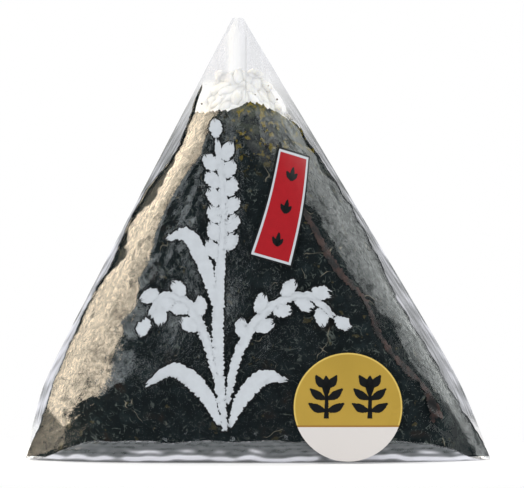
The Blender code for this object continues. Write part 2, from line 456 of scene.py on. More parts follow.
def smooth_form(across, up):
    """The pack's face before its fine folds: what the seaweed and the film share."""
    inset, half_width, left, right = inset_from_edge(across, up)
    on_left = across < 0.5 * (left + right)
    rise = section_rise(inset, half_width, up, fin_reach(up, on_left), on_left)
    rise = rise + belly_rise(across, up, left, right)
    rise = rise + shoulder(inset, up, on_left) * smooth_share(inset, 2.2, 4.2)
    calm = 0.05 + 0.28 * (1.0 - smooth_share(inset, 5.0, 20.0)) * smooth_share(inset, 2.2, 5.0)
    calm = calm * (1.0 - 0.8 * smooth_share(up, 70.0, 80.0)) * smooth_share(inset, 0.0, 0.5)
    return rise + calm * ripple(across, up, 21, 11.0) * smooth_share(up, 2.0, 9.0), inset


def sunk_form(across, up, depth):
    """The shared form moved in under the film by this much, measured square to the film."""
    step = 0.15
    here = smooth_form(across, up)[0]
    slope_x = (smooth_form(across + step, up)[0] - here) / step
    slope_z = (smooth_form(across, up + step)[0] - here) / step
    return here - depth * np.minimum(np.sqrt(1.0 + slope_x**2 + slope_z**2), 4.0)


def film_rise(across, up, folds):
    """How far the film stands from the fin's plane, folds and all."""
    rise, inset = smooth_form(across, up)
    loose_side = np.where(across < 0.0, LOOSE_LEFT, LOOSE_RIGHT)
    slack = 1.0 - smooth_share(inset, 0.45 * loose_side, loose_side)
    slack = slack * (1.0 - 0.85 * smooth_share(up, 70.0, 80.0))
    broad = CRUMPLES[0] * ripple(across, up, 23, 8.0, 6, True)
    fine = CRUMPLES[1] * ripple(across, up, 24, 3.0, 6, True)
    lift = fold_lift(across, up, folds) + slack * (broad + fine)
    lift = lift * smooth_share(rise, 0.3, 3.0)
    thin = FIN_HALF_THICKNESS * np.clip(inset / 0.25, 0.0, 1.0)
    closing = mix(1.0, 0.2, smooth_share(up, PACK_HEIGHT - 1.6, PACK_HEIGHT))
    return np.maximum((rise + lift) * closing, thin)


def fin_sway(across, up):
    """The fins aren't flat: they wave front to back together with both sheets."""
    inset = inset_from_edge(across, up)[0]
    wave = FIN_WAVES[0] * waver(up, 31, 17.0) + FIN_WAVES[1] * waver(up, 32, 6.0)
    return wave * (1.0 - smooth_share(inset, 0.5, 4.0)) * smooth_share(up, 1.0, 8.0)


# ---------------------------------------------------------------- mesh making


def deselect_all():
    """Leaves nothing selected."""
    bpy.ops.object.select_all(action="DESELECT")


def activate(piece):
    """Selects this piece alone and makes it the active one."""
    deselect_all()
    piece.select_set(True)
    bpy.context.view_layer.objects.active = piece


def grid_sheet(name, columns, rows):
    """A flat grid, and how far along each of its points is across and up, from 0 to 1."""
    deselect_all()
    bpy.ops.mesh.primitive_grid_add(x_subdivisions=columns, y_subdivisions=rows, size=2.0)
    sheet = bpy.context.object
    sheet.name = name
    sheet.data.name = name
    points = read_points(sheet)
    return sheet, 0.5 * (points[:, 0] + 1.0), 0.5 * (points[:, 1] + 1.0)


def read_points(piece):
    """The places of the piece's points, in its mesh's own units."""
    flat = np.empty(3 * len(piece.data.vertices))
    piece.data.vertices.foreach_get("co", flat)
    return flat.reshape(-1, 3)


def write_points(piece, across, deep, up):
    """Puts the piece's points at these places, given in millimetres."""
    places = MM * np.column_stack([across, deep, up])
    piece.data.vertices.foreach_set("co", places.ravel())
    piece.data.update()


def close_sheet(piece, weld=1e-7):
    """Welds a rolled sheet's seam, fills its open ends and points its faces outwards."""
    activate(piece)
    bpy.ops.object.mode_set(mode="EDIT")
    bpy.ops.mesh.select_all(action="SELECT")
    bpy.ops.mesh.remove_doubles(threshold=weld)
    bpy.ops.mesh.fill_holes(sides=0)
    bpy.ops.mesh.select_all(action="SELECT")
    bpy.ops.mesh.normals_make_consistent(inside=False)
    bpy.ops.object.mode_set(mode="OBJECT")


def shade(piece, angle):
    """Shades a piece smooth, but for edges sharper than this many degrees."""
    activate(piece)
    bpy.ops.object.shade_smooth_by_angle(angle=math.radians(angle))


def round_the_pack(around, front_share, packing):
    """Where a rolled sheet's columns go: left to right over the front, and back again behind."""
    on_front = around <= front_share + 1e-6
    run = np.where(on_front, around / front_share, (1.0 - around) / (1.0 - front_share))
    run = np.clip(run, 0.0, 1.0)
    return mix(run, 0.5 - 0.5 * np.cos(math.pi * run), packing), on_front


# ---------------------------------------------------------------- film


def make_film():
    """The clear film: a sheet rolled round the pack, tight over the rice and pinched flat at both sides."""
    film, around, share_up = grid_sheet("clear_film", FILM_COLUMNS, FILM_ROWS)
    across_share, on_front = round_the_pack(around, FRONT_SHARE, 0.6)
    up = np.interp(share_up, [0.0, FOOT_ROWS_SHARE, 1.0], [0.0, FOOT_ROWS_TOP, PACK_HEIGHT])
    left, right = pack_edges(up)
    across = mix(left, right, across_share)
    front = -film_rise(across, up, FRONT_FOLDS)
    back = film_rise(across, up, BACK_FOLDS)
    deep = np.where(on_front, front, back) + fin_sway(across, up)
    write_points(film, across, deep, up)
    close_sheet(film)
    mark_film(film)
    shade(film, 75.0)
    return film


def mark_film(film):
    """Marks where layers of film lie together, how light they look, what mirrors, and how loose it is. The
    layers and the lightness hold painted highlights, and what mirrors holds painted shade.
    """
    points = read_points(film) / MM
    across, up = points[:, 0], points[:, 2]
    on_front = points[:, 1] < 0.0
    inset, _, left, right = inset_from_edge(across, up)
    on_left = across < 0.5 * (left + right)
    foot = foot_layers(across, up, inset)
    tear = tear_layers(across, up, on_front)
    layers = np.maximum.reduce([fin_layers(up, inset, on_left), foot, peak_layers(across, up), tear])
    write_mark(film, "layers", np.clip(layers, 0.0, 1.0))
    along_peak = 0.72 + 0.10 * ripple(6.0 * across, 0.4 * up, 48, 6.0)
    light = mix(fin_lightness(up, inset, on_left), along_peak, smooth_share(up, 74.0, 80.0))
    # the foot's lightness holds painted highlights along its folded edges
    light = np.where(foot > 0.5, foot_lightness(across, up), light)
    write_mark(film, "lightness", np.clip(np.where(tear > 0.2, 0.25, light), 0.02, 1.0))
    # painted shade: the shine mark turns the film's mirror down where the front should read dark
    write_mark(film, "shine", film_shine(across, up, on_front))
    loose = (1.0 - smooth_share(inset, 8.0, 20.0)) * smooth_share(inset, 0.0, 2.0)
    loose = loose * np.where(on_left, 1.0, 0.6)
    write_mark(film, "loose", mix(0.35, 1.0, loose) * (1.0 - 0.9 * smooth_share(up, 68.0, 73.5)))


def fin_layers(up, inset, on_left):
    """The fins, outside of the seaweed's sides: two layers pressed together, fainter towards the peak."""
    fin_edge = seaweed_gap(up, on_left)
    fin = (1.0 - smooth_share(inset, fin_edge - 0.1, fin_edge + 0.25)) * smooth_share(up, 5.0, 11.0)
    return fin * mix(1.0, 0.35, smooth_share(up, 58.0, 80.0))


def foot_layers(across, up, inset):
    """The foot, where the film is folded under: it ends at a wandering line."""
    turn = 4.4 + 0.3 * waver(across, 41, 9.0) + 0.12 * waver(across, 42, 2.5)
    turn = turn * smooth_share(inset, 0.5, 14.0)
    return 1.0 - smooth_share(up, turn - 0.2, turn + 0.05)


def peak_layers(across, up):
    """The empty peak, with a painted highlight beside the tear line: a clearer stretch of film."""
    # painted highlight: the film is made clearer here, so this stretch reads whiter
    highlight = np.exp(-(((across - TEAR_LINE + 2.6) / 1.5) ** 2))
    return smooth_share(up, 75.0, 81.0) * (0.42 - 0.38 * highlight)


def tear_layers(across, up, on_front):
    """The thin tear line down the front of the peak."""
    tear = np.exp(-(((across - TEAR_LINE) / 0.16) ** 2)) * smooth_share(up, 72.0, 76.0)
    return 0.55 * tear * (1.0 - smooth_share(up, 86.0, 89.0)) * on_front


def fin_lightness(up, inset, on_left):
    """The fins: long streaks along them, lighter low on the left, and dark stretches at the outer edge."""
    light = mix(np.where(on_left, 0.78, 0.5), 0.36, smooth_share(up, 42.0, 62.0))
    light = light + 0.22 * ripple(3.0 * inset, up, 44, 9.0)
    light = light + 0.36 * ripple(11.0 * inset, 0.8 * up, 43, 5.0)
    return light - 0.4 * (1.0 - smooth_share(inset, 0.1, 0.3)) * (waver(up, 45, 9.0) > -0.2)


def film_shine(across, up, on_front):
    """How much the film mirrors: less near the peak, and on the front turned down as painted shade, of
    facets turned from the light.
    """
    inset, _, left, right = inset_from_edge(across, up)
    on_left = across < 0.5 * (left + right)
    wander = ripple(across, up, 57, 3.5)
    shade = np.where(on_left, left_shade(across, up, inset, wander), right_shade(up, inset, wander))
    return (1.0 - shade * on_front) * (1.0 - 0.6 * smooth_share(up, 69.0, 74.0))


def left_shade(across, up, inset, wander):
    """Painted shade on the left: two facets in the left corner, the dark field inside of them, and the lip
    at the seaweed's side.

    The facets' edges are slanted lines, each given by its height at the left tip and its slope.
    """
    from_tip = across + HALF_WIDTH
    ridge = crisp(15.0 - 0.96 * from_tip + 0.3 * wander - up)
    crease = crisp(3.2 + 0.45 * from_tip + 0.15 * wander - up)
    corner = np.maximum(0.79 * ridge * (1.0 - crease), 0.74 * crease * crisp(8.6 - from_tip))
    below = crisp(7.0 + 0.79 * (from_tip - 8.4) + 0.6 * wander - up) * crisp(from_tip - 8.4)
    lip = seaweed_gap(up, True) + at_height(up, LEFT_LIP) * (1.0 + 0.3 * wander)
    return np.maximum.reduce([corner, 0.93 * below * crisp(22.0 - from_tip), 0.98 * crisp(lip - inset)])


def right_shade(up, inset, wander):
    """Painted shade on the right: the lip along the seaweed's upper right side, and all that lies inside of
    the band of haze.
    """
    lip = seaweed_gap(up, False) + 1.2 + 0.8 * waver(up, 58, 7.0)
    upper = 0.85 * crisp(lip - inset) * crisp(up + 0.3 * wander - 57.0)
    inner = at_height(up, RIGHT_HAZE) + 0.5 * wander
    return np.maximum(upper, 0.85 * crisp(inset - inner) * crisp(24.0 - inset))


def crisp(value):
    """0 below nothing and 1 above it, over a third of a millimetre."""
    return smooth_share(value, -0.17, 0.17)


def foot_lightness(across, up):
    """The folded foot: fine level streaks, and two broken painted highlights, bright edges that wander
    along it.
    """
    streaks = 0.17 + 0.06 * ripple(0.35 * across, 4.0 * up, 46, 4.0)
    streaks = streaks + 0.05 * ripple(across, 3.0 * up, 47, 2.2)
    crest = 0.85 + 0.35 * waver(across, 49, 19.0) + 0.25 * waver(across, 50, 6.0)
    lower = np.exp(-(((up - crest) / 0.44) ** 2))
    lower = lower * smooth_share(ripple(across, up, 55, 9.0), -1.1, 0.1)
    upper = np.exp(-(((up - crest - 1.4) / 0.4) ** 2))
    upper = upper * smooth_share(ripple(across, up, 56, 7.0), -0.1, 0.9)
    # painted highlights: the two bright edges are added to the foot's lightness
    return streaks + 1.6 * lower + 0.7 * upper


def write_mark(piece, name, values):
    """Keeps one number for each point of the piece, for its material to read."""
    mark = piece.data.attributes.new(name, "FLOAT", "POINT")
    mark.data.foreach_set("value", values)


# ---------------------------------------------------------------- seaweed and rice


def seaweed_top(across, across_share, up, on_front):
    """The torn upper edge of the seaweed: lower on the right, with a sliver left at the left side."""
    front = SEAWEED_FRONT_TOP + 1.9 * np.exp(-(((across + 1.0) / 3.4) ** 2))
    front = front - 2.4 * smooth_share(across, 2.5, 9.5)
    inset = inset_from_edge(across, up)[0]
    back = SEAWEED_BACK_TOP + 1.6 * waver(across, 51, 9.0) - 3.0 * (1.0 - smooth_share(inset, 1.0, 5.0))
    side = np.where(across_share < 0.5, SEAWEED_LEFT_TOP, SEAWEED_RIGHT_TOP)
    inside = smooth_share(np.minimum(across_share, 1.0 - across_share), 0.010, 0.026)
    top = mix(side, np.where(on_front, front, back), inside)
    return top + 0.3 * waver(across, 52, 3.5) + 0.28 * waver(across, 53, 0.9)


def make_seaweed():
    """The sheet of seaweed round the rice, torn at the top, with a lining behind the torn edge."""
    sheet, around, share = grid_sheet("seaweed_sheet", SEAWEED_COLUMNS, SEAWEED_ROWS)
    across_share, on_front = round_the_pack(around, FRONT_SHARE, 0.5)
    share_up = np.clip(share / SEAWEED_OUTER_SHARE, 0.0, 1.0)
    lining = np.clip((share - SEAWEED_OUTER_SHARE) / (1.0 - SEAWEED_OUTER_SHARE), 0.0, 1.0)
    up = SEAWEED_FOOT + share_up * SEAWEED_FIRST_HEIGHT
    for _ in range(4):
        left, right = seaweed_sides(up)
        across = mix(left, right, across_share)
        up = mix(SEAWEED_FOOT, seaweed_top(across, across_share, up, on_front), share_up)
    up = mix(up, SEAWEED_LINING_FOOT, lining)
    left, right = seaweed_sides(up)
    wall = SEAWEED_THICKNESS * np.clip(20.0 * lining, 0.0, 1.0)
    across = mix(left + wall, right - wall, across_share)
    rise = np.maximum(seaweed_rise(across, up, left, right) - wall, SEAWEED_EDGE_HALF)
    rise = rise * np.clip((np.minimum(across - left, right - across) - wall) / 0.2, 0.0, 1.0)
    write_points(sheet, across, np.where(on_front, -rise, rise) + fin_sway(across, up), up)
    write_mark(sheet, "torn", smooth_share(share_up, 0.975, 1.0) * (lining < 0.3))
    close_sheet(sheet)
    shade(sheet, 55.0)
    return sheet


def seaweed_sides(up):
    """How far the seaweed reaches to the left and right."""
    left, right = pack_edges(up)
    return left + seaweed_gap(up, True), right - seaweed_gap(up, False)


def seaweed_rise(across, up, left, right):
    """The seaweed lies just under the film, and its sides close round the rice."""
    form = sunk_form(across, up, SEAWEED_DEPTH)
    inset = np.minimum(across - left, right - across)
    closing = np.clip(inset / 7.0, 0.0, 1.0)
    rounded = half_depth(up) * np.sqrt(np.clip(1.0 - (1.0 - closing) ** 2, 0.0, 1.0))
    relief = 0.05 * ripple(across, up, 67, 2.4) + 0.05 * ripple(across, up, 68, 5.5)
    return np.minimum(form, rounded) + relief * smooth_share(inset, 0.3, 2.0) - 0.05


def thicken(sheet, thickness):
    """Gives a flat sheet a wall of this thickness behind its faces."""
    solidify = sheet.modifiers.new("thickness", "SOLIDIFY")
    solidify.thickness = thickness * MM
    solidify.offset = -1.0
    activate(sheet)
    bpy.ops.object.modifier_apply(modifier=solidify.name)


def rice_top(across):
    """The height of the rice's top: highest a little left of the middle."""
    return CREST_HEIGHT - CREST_FALL * np.clip(((across - CREST_ACROSS) / CREST_REACH) ** 2, 0.0, 1.6)


def rice_sides(up):
    """The rice's left and right ends at this height."""
    left, right = pack_edges(up)
    gap = mix(RICE_GAP_BELOW, RICE_GAP_ABOVE, smooth_share(up, 58.0, 76.0))
    return left + gap, right - gap


def rice_rise(across, up, sink):
    """Half the rice block's depth at a point of its face, this far under the film."""
    left, right = rice_sides(up)
    half_width = 0.5 * (right - left)
    inset = np.clip(half_width - np.abs(across - 0.5 * (left + right)), 0.0, None)
    rounding = np.minimum(RICE_ROUNDING, half_width)
    side = np.sqrt(np.clip(1.0 - np.clip(1.0 - inset / rounding, 0.0, 1.0) ** 2, 0.0, 1.0))
    top = rice_top(across)
    climb = np.clip((up - DOME_START) / (top - DOME_START), 0.0, 1.0)
    dome = np.sqrt(np.clip(1.0 - climb**2, 0.0, 1.0))
    film = sunk_form(across, up, sink)
    rise = np.maximum(np.minimum(film, (half_depth(up) - sink) * side), 0.0)
    return rise * np.minimum(1.0, 1.15 * dome)


def rounded_end(share, reach):
    """0 at an end and 1 from this far in, rounded like a quarter circle."""
    return np.sqrt(1.0 - (1.0 - np.clip(share / reach, 0.0, 1.0)) ** 2)


def make_rice_core():
    """The pressed rice under the seaweed and the loose grains."""
    core, around, share_up = grid_sheet("rice_core", CORE_COLUMNS, CORE_ROWS)
    across_share, on_front = round_the_pack(around, 0.5, 0.5)
    up = mix(CORE_FOOT, RICE_TOP - CORE_INSIDE, share_up)
    left, right = rice_sides(up)
    across = mix(left + CORE_INSIDE, right - CORE_INSIDE, across_share)
    top = rice_top(across) - CORE_INSIDE
    up = np.minimum(up, mix(up, top, smooth_share(share_up, 0.8, 1.0)))
    rise = rice_rise(across, up, RICE_DEPTH + CORE_SINK) + 0.12 * ripple(across, up, 71, 3.0)
    rise = np.maximum(rise, 0.3) * rounded_end(np.minimum(across_share, 1.0 - across_share), 0.08)
    rise = rise * rounded_end(1.0 - share_up, 0.05)
    write_points(core, across, np.where(on_front, -rise, rise), up)
    close_sheet(core, 1e-6)
    shade(core, 80.0)
    return core


def model_grain():
    """One cooked grain: a plump, flattened oval, slightly bent and narrower at one end."""
    deselect_all()
    bpy.ops.mesh.primitive_uv_sphere_add(segments=12, ring_count=8, radius=1.0)
    grain = bpy.context.object
    points = read_points(grain)
    along, wide, thick = points[:, 2], points[:, 0], points[:, 1]
    half_length, half_width, half_thickness = GRAIN_HALF_SIZES
    bend = GRAIN_BEND * along**2
    taper = 1.0 - GRAIN_TAPER * along
    sizes = [half_length * along, half_width * wide * taper + bend, half_thickness * thick * taper]
    grain.data.vertices.foreach_set("co", np.column_stack(sizes).ravel())
    grain.data.update()
    return grain


def rice_surface(across, up, on_front):
    """Points of the rice's surface and their outward directions, in millimetres."""
    step = 0.2
    here = rice_rise(across, up, RICE_DEPTH)
    aside = rice_rise(across + step, up, RICE_DEPTH)
    above = rice_rise(across, up + step, RICE_DEPTH)
    sign = np.where(on_front, -1.0, 1.0)
    normals = np.column_stack([-(aside - here) / step, sign, -(above - here) / step])
    normals /= np.linalg.norm(normals, axis=1, keepdims=True)
    return np.column_stack([across, sign * here, up]), normals


def make_rice_grains():
    """Real grains over the top of the rice, as far down as a little way under the seaweed's edge."""
    draw = np.random.default_rng(81)
    up = draw.uniform(LOWEST_GRAIN, RICE_TOP, GRAIN_TRIES)
    left, right = rice_sides(up)
    across = draw.uniform(left + 1.6, right - 1.6)
    places, normals = rice_surface(across, up, draw.random(GRAIN_TRIES) < 0.6)
    inside = up < rice_top(across) - 0.5
    kept = []
    for place, normal in zip(places[inside], normals[inside]):
        if all(np.sum((place - other) ** 2) > GRAIN_SPACING**2 for other, _ in kept):
            kept.append((place, normal))
    template = model_grain()
    grains = [set_grain(template, place, normal, draw) for place, normal in kept]
    bpy.data.objects.remove(template)
    return joined(grains, "rice_grains")


def joined(parts, name):
    """Joins parts into one piece of this name."""
    activate(parts[0])
    for part in parts:
        part.select_set(True)
    bpy.ops.object.join()
    piece = parts[0]
    piece.name = name
    piece.data.name = name
    shade(piece, 80.0)
    return piece


def set_grain(template, place, normal, draw):
    """A copy of the grain, laid flat on the rice at any heading and mostly sunk into its neighbours."""
    grain = template.copy()
    grain.data = template.data.copy()
    bpy.context.collection.objects.link(grain)
    heading = draw.normal(0.0, 1.0, 3)
    along = np.cross(normal, heading)
    along /= np.linalg.norm(along)
    aside = np.cross(normal, along)
    local = read_points(grain) * draw.uniform(*GRAIN_SCALES)
    places = local @ np.array([along, aside, normal]) + place - normal * draw.uniform(*GRAIN_SINKS)
    write_points(grain, places[:, 0], places[:, 1], places[:, 2])
    return grain


def make_crumbs():
    """Specks of filling and seaweed caught in the film near the rice."""
    draw = np.random.default_rng(91)
    crumbs = []
    for across, up, size in CRUMBS:
        deselect_all()
        bpy.ops.mesh.primitive_ico_sphere_add(subdivisions=2, radius=1.0)
        crumb = bpy.context.object
        points = read_points(crumb) * size * draw.uniform(0.6, 1.2, (len(crumb.data.vertices), 1))
        rise = smooth_form(np.array([across]), np.array([up]))[0][0] - 0.35
        write_points(crumb, points[:, 0] + across, 0.4 * points[:, 1] - rise, points[:, 2] + up)
        crumbs.append(crumb)
    return joined(crumbs, "crumbs")


# ---------------------------------------------------------------- print on the film


def smooth_path(stops, count):
    """A smooth line through the stops, each given as across, up and width."""
    stops = np.array(stops, float)
    lengths = np.concatenate([[0.0], np.cumsum(np.hypot(*np.diff(stops[:, :2], axis=0).T))])
    fine = np.linspace(0.0, lengths[-1], count)
    if len(stops) == 2:
        return np.column_stack([np.interp(fine, lengths, stops[:, i]) for i in range(3)])
    columns = []
    for i in range(3):
        slopes = np.gradient(stops[:, i], lengths)
        columns.append(hermite(fine, lengths, stops[:, i], slopes))
    return np.column_stack(columns)


def brush_stroke(stops, draw, grow=0.0, step=0.25, ragged=0.34, dry=1.3):
    """One stroke of the brush as a flat grid: ragged sides, and an end that splits into bristle marks."""
    stops = np.array(stops, float)
    length = np.sum(np.hypot(*np.diff(stops[:, :2], axis=0).T))
    count = max(int(length / step), 8)
    stroke, along, aside = grid_sheet("stroke", count, BRISTLES - 1)
    bristle = draw.uniform(0.0, 1.0, BRISTLES)
    strand = np.rint(aside * (BRISTLES - 1)).astype(int)
    tail = 1.0 - dry * bristle[strand] * 0.9 / length
    head = 0.35 * dry * bristle[::-1][strand] / length
    run = mix(head, tail, along)
    if grow:
        run = run + np.where(along > 0.5, 1.0, -1.0) * grow / length * np.abs(2.0 * along - 1.0) ** 8
    path = smooth_path(stops, 400)
    fine = np.linspace(0.0, 1.0, 400)
    centre_x, centre_z, width = (np.interp(run, fine, path[:, i]) for i in range(3))
    run_x, run_z = (np.interp(run, fine, np.gradient(path[:, i])) for i in range(2))
    size = np.hypot(run_x, run_z)
    beyond = np.where(run > 1.0, run - 1.0, np.minimum(run, 0.0)) * length
    centre_x = centre_x + beyond * run_x / size
    centre_z = centre_z + beyond * run_z / size
    knots = np.linspace(0.0, 1.0, count + 1)
    sides = [ragged * np.interp(along, knots, draw.normal(0.0, 0.45, count + 1)) for _ in range(2)]
    half = 0.5 * width + grow + np.where(aside > 0.5, *sides)
    offset = (2.0 * aside - 1.0) * np.maximum(half, 0.05 + grow)
    write_points(stroke, centre_x - offset * run_z / size, 0.0 * run, centre_z + offset * run_x / size)
    return stroke


def dab(across, up, heading):
    """One grain: a short stroke, widest at its middle. The heading is in radians from level."""
    half_x = 0.5 * DAB_LENGTH * math.cos(heading)
    half_z = 0.5 * DAB_LENGTH * math.sin(heading)
    start = (across - half_x, up - half_z, DAB_END_WIDTH)
    end = (across + half_x, up + half_z, DAB_END_WIDTH)
    return [start, (across, up, DAB_WIDTH), end]


def ear(stem, start, count):
    """Grains on either side of the stem by turns, leaning out from it, and one at its tip."""
    stem = smooth_path(stem, 200)[:, :2]
    grains = []
    for i in range(count):
        here = int(199 * mix(start, 0.95, i / (count - 1)))
        along_x, along_z = stem[here] - stem[here - 4]
        heading = math.atan2(along_z, along_x)
        side = -1.0 if i % 2 else 1.0
        across = stem[here, 0] - side * DAB_ASIDE * math.sin(heading)
        up = stem[here, 1] + side * DAB_ASIDE * math.cos(heading)
        grains.append(dab(across, up, heading + side * DAB_LEAN))
    tip_x, tip_z = stem[-1] - stem[-5]
    heading = math.atan2(tip_z, tip_x)
    reach = 0.45 * DAB_LENGTH
    across = stem[-1, 0] + reach * math.cos(heading)
    up = stem[-1, 1] + reach * math.sin(heading)
    return grains + [dab(across, up, heading)]


def all_strokes():
    """The stops of every stroke: stems and leaves first, then the grains over them."""
    grains = [grain for stem, (start, count) in zip(STEMS, EARS) for grain in ear(stem, start, count)]
    return STEMS + LEAVES + grains


def make_painting(name, grow, stand_off):
    """All the painting's strokes as one piece of ink on the film, grown by this much all round."""
    draw = np.random.default_rng(101)
    strokes = [brush_stroke(stops, draw, grow) for stops in all_strokes()]
    for order, stroke in enumerate(strokes):
        points = read_points(stroke) / MM
        write_points(stroke, points[:, 0], points[:, 1] - STROKE_STEP * order, points[:, 2])
    return print_on_film(name, strokes, stand_off)


def print_on_film(name, sheets, stand_off):
    """Joins flat sheets and lays them this far off the front of the film."""
    ink = joined(sheets, name)
    points = read_points(ink) / MM
    across, up = points[:, 0], points[:, 2]
    deep = -film_rise(across, up, FRONT_FOLDS) + fin_sway(across, up) - stand_off + points[:, 1]
    return lay_ink(ink, deep)


def lay_ink(ink, deep):
    """Lays flat ink at these depths, turns it to the front and gives it its thickness."""
    points = read_points(ink) / MM
    write_points(ink, points[:, 0], deep, points[:, 2])
    face_forwards(ink)
    thicken(ink, INK_THICKNESS)
    shade(ink, 80.0)
    return ink


def face_forwards(sheet):
    """Turns every face of a flat sheet towards the front."""
    activate(sheet)
    bpy.ops.object.mode_set(mode="EDIT")
    bpy.ops.mesh.select_all(action="DESELECT")
    bpy.ops.mesh.select_mode(type="FACE")
    bpy.ops.object.mode_set(mode="OBJECT")
    for face in sheet.data.polygons:
        face.select = face.normal.y > 0.0
    bpy.ops.object.mode_set(mode="EDIT")
    bpy.ops.mesh.flip_normals()
    bpy.ops.object.mode_set(mode="OBJECT")


def banner_sheet(grow):
    """A leaning banner with slightly bowed sides, grown by this much all round."""
    sheet, share_x, share_z = grid_sheet("banner", 14, 44)
    corners = np.array(BANNER_CORNERS)
    width = np.linalg.norm(corners[1] - corners[0])
    height = np.linalg.norm(corners[3] - corners[0])
    share_x = 0.5 + (share_x - 0.5) * (1.0 + 2.0 * grow / width)
    share_z = 0.5 + (share_z - 0.5) * (1.0 + 2.0 * grow / height)
    low_x, low_z = (mix(corners[0][i], corners[1][i], share_x) for i in (0, 1))
    high_x, high_z = (mix(corners[3][i], corners[2][i], share_x) for i in (0, 1))
    bow = BANNER_BOW * np.sin(math.pi * np.clip(share_z, 0.0, 1.0))
    write_points(sheet, mix(low_x, high_x, share_z) + bow, 0.0 * share_x, mix(low_z, high_z, share_z))
    return sheet


def banner_marks():
    """Three plain grain sprigs down the banner, each of three short leaves."""
    draw = np.random.default_rng(111)
    corners = np.array(BANNER_CORNERS)
    marks = []
    for share in (0.82, 0.5, 0.18):
        middle = mix(0.5 * (corners[0] + corners[1]), 0.5 * (corners[2] + corners[3]), share)
        middle_x = middle[0] + BANNER_BOW * math.sin(math.pi * share)
        for lean, reach in ((-48.0, 1.5), (0.0, 2.1), (48.0, 1.5)):
            heading = math.radians(lean + 14.0)
            tip_x = middle_x + reach * math.sin(heading)
            tip_z = middle[1] - 1.1 + reach * math.cos(heading)
            half = (0.5 * (middle_x + tip_x), 0.5 * (middle[1] - 1.1 + tip_z), 0.95)
            stops = [(middle_x, middle[1] - 1.5, 0.3), half, (tip_x, tip_z + 0.4, 0.25)]
            marks.append(brush_stroke(stops, draw, step=0.2, ragged=0.05, dry=0.2))
    return marks


def make_inner_film_edge():
    """The folded edge of the inner film, which shows on the right as a thin wandering line."""
    edge = brush_stroke(INNER_FILM_PATH, np.random.default_rng(131), ragged=0.4)
    return print_on_film("inner_film_edge", [edge], -INNER_FILM_SINK)


# ---------------------------------------------------------------- label


def leaf_sprig(middle_x, middle_z, tall, draw):
    """A plain sprig of leafy greens, flat: a stem, paired leaves and a bud."""
    strokes = [[(middle_x, middle_z - 0.5 * tall, 1.0), (middle_x + 0.1, middle_z + 0.25 * tall, 0.5)]]
    for share, lean, reach in ((0.10, 66.0, 4.0), (0.38, 56.0, 4.0), (0.66, 40.0, 3.4)):
        foot_z = middle_z + (share - 0.42) * tall
        for side in (-1.0, 1.0):
            tip_x = middle_x + side * reach * math.sin(math.radians(lean))
            tip_z = foot_z + reach * math.cos(math.radians(lean))
            swell = (0.45 * middle_x + 0.55 * tip_x, mix(foot_z, tip_z, 0.5) - 0.2, 1.7)
            strokes.append([(middle_x, foot_z, 0.4), swell, (tip_x, tip_z, 0.25)])
    bud = ((0.0, 0.5), (0.36, 1.7), (0.54, 0.2))
    strokes.append([(middle_x, middle_z + share * tall, width) for share, width in bud])
    return [brush_stroke(stops, draw, step=0.25, ragged=0.06, dry=0.15) for stops in strokes]


def label_front(across, up):
    """How deep the label's front face lies behind each of these places, in millimetres."""
    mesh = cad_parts["flavour_label"].data
    surface = BVHTree.FromPolygons([v.co for v in mesh.vertices], [f.vertices for f in mesh.polygons])
    ahead = Vector((0.0, 1.0, 0.0))
    hits = [surface.ray_cast(Vector((x * MM, -1.0, z * MM)), ahead)[0] for x, z in zip(across, up)]
    return np.array([hit.y for hit in hits]) / MM


def make_label_leaves():
    """Two leaf sprigs printed on the label."""
    draw = np.random.default_rng(121)
    low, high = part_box("flavour_label")
    middle_x = 0.5 * (low.x + high.x) / MM
    middle_z = 0.5 * (low.z + high.z) / MM + SPRIG_UP
    sheets = []
    for aside in (-SPRIG_ASIDE, SPRIG_ASIDE):
        sheets += leaf_sprig(middle_x + aside, middle_z, SPRIG_TALL, draw)
    leaves = joined(sheets, "label_leaves")
    points = read_points(leaves) / MM
    return lay_ink(leaves, label_front(points[:, 0], points[:, 2]) - SPRIG_STAND_OFF)


# ---------------------------------------------------------------- materials


def feed(tree, source, target):
    """Gives a node's input its source: another node's output, a colour, or a plain value."""
    if isinstance(source, bpy.types.NodeSocket):
        tree.links.new(source, target)
    elif target.type == "RGBA":
        target.default_value = (*source[:3], 1.0)
    else:
        target.default_value = source


def add_node(tree, kind, **settings):
    """A node. Settings with a capital are its inputs, with spaces as underscores; others are properties."""
    made = tree.nodes.new(kind)
    for name, value in settings.items():
        if not name[0].isupper():
            setattr(made, name, value)
    for name, value in settings.items():
        if name[0].isupper():
            feed(tree, value, made.inputs[name.replace("_", " ")])
    return made


def new_material(name, **values):
    """A material with one Principled shader, whose inputs are set from values."""
    material = bpy.data.materials.new(name)
    material.use_nodes = True
    tree = material.node_tree
    shader = tree.nodes["Principled BSDF"]
    dress_shader(tree, shader, **values)
    return material, tree, shader


def dress_shader(tree, shader, **values):
    """Sets a shader's inputs, each to a value or to another node's output."""
    for name, value in values.items():
        feed(tree, value, shader.inputs[name.replace("_", " ")])


def math_node(tree, operation, first, second=0.0, clamp=False):
    """A Math node on two sources, each an output or a plain number."""
    made = add_node(tree, "ShaderNodeMath", operation=operation, use_clamp=clamp)
    feed(tree, first, made.inputs[0])
    feed(tree, second, made.inputs[1])
    return made.outputs[0]


def product(tree, *factors):
    """The factors multiplied together."""
    total = factors[0]
    for factor in factors[1:]:
        total = math_node(tree, "MULTIPLY", total, factor)
    return total


def mix_colours(tree, mask, first, second):
    """first where the mask is 0 and second where it is 1. Each is a colour or an output."""
    made = add_node(tree, "ShaderNodeMix", data_type="RGBA", Factor=mask)
    for name, source in (("A", first), ("B", second)):
        feed(tree, source, next(s for s in made.inputs if s.name == name and s.type == "RGBA"))
    return next(s for s in made.outputs if s.type == "RGBA")


